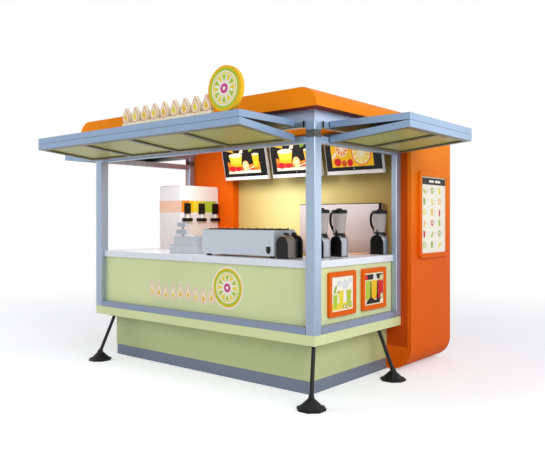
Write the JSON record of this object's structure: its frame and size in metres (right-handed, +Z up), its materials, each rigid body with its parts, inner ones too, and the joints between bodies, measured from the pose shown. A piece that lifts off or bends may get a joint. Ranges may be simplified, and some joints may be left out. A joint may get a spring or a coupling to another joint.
{
  "type": "street kiosk",
  "caption": "Drinks kiosk with a raised deck, serving counters on its open sides, wedge canopies, leaning legs and a rounded shell behind.",
  "frame": {"origin": "on the ground, under the middle of the whole box", "axes": "+X to the customer's right along the front counter, +Y from the front counter into the kiosk, +Z up"},
  "size_m": [4.498, 3.044, 2.656],
  "materials": {
    "steel_frame": "satin blue-grey powder coat on steel tube",
    "green_panel": "satin pale green enamel on sheet panels",
    "olive_soffit": "satin olive enamel",
    "orange_shell": "semi-gloss orange lacquer",
    "yellow_wall": "satin yellow enamel",
    "white_counter": "gloss white laminate",
    "kick_steel": "brushed stainless kick rail",
    "black_leg": "black powder coat",
    "screen": "black screen housing",
    "white_card": "white acrylic board",
    "white_housing": "gloss white moulded housing",
    "black_plastic": "matt black moulded plastic",
    "grey_plastic": "pale grey moulded plastic",
    "stainless": "brushed stainless sheet",
    "clear_jar": "clear jar",
    "sign_cream": "cream acrylic"
  },
  "bodies": {
    "root": {"plinth_panels": "green_panel", "kick_rail": "kick_steel", "deck": "green_panel", "front_posts": "steel_frame", "rear_posts": "steel_frame", "bottom_rails": "steel_frame", "tie_beams": "steel_frame", "header_beams": "steel_frame", "counter_panels": "green_panel", "counter_tops": "white_counter", "front_canopy_top": "steel_frame", "side_canopy_tops": "steel_frame", "front_flap": "steel_frame", "side_flaps": "steel_frame", "front_soffit": "olive_soffit", "side_soffits": "olive_soffit", "hinge_strips": "steel_frame", "roof_cap": "orange_shell", "cabinet_base": "orange_shell", "cabinet_pads": "black_leg", "cabinet_side_walls": "orange_shell", "cabinet_back_wall": "orange_shell", "cabinet_front": "orange_shell", "inner_pillar": "orange_shell", "inner_back_wall": "yellow_wall", "leg_rods": "black_leg", "leg_feet": "black_leg", "menu_board_frame": "orange_shell", "menu_board": "white_card", "poster_frames": "orange_shell", "poster_cards": "white_card", "menu_screens": "screen", "screen_arms": "black_plastic", "juice_dispenser": "white_housing", "dispenser_valves": "black_plastic", "cash_register": "grey_plastic", "warmer": "stainless", "splash_board": "stainless", "blender_bases": "black_plastic", "blender_jars": "clear_jar", "blender_lids": "black_plastic", "blender_handles": "black_plastic", "sign_row": "sign_cream", "sign_disc": "sign_cream", "sign_brackets": "steel_frame"}
  },
  "joints": []
}
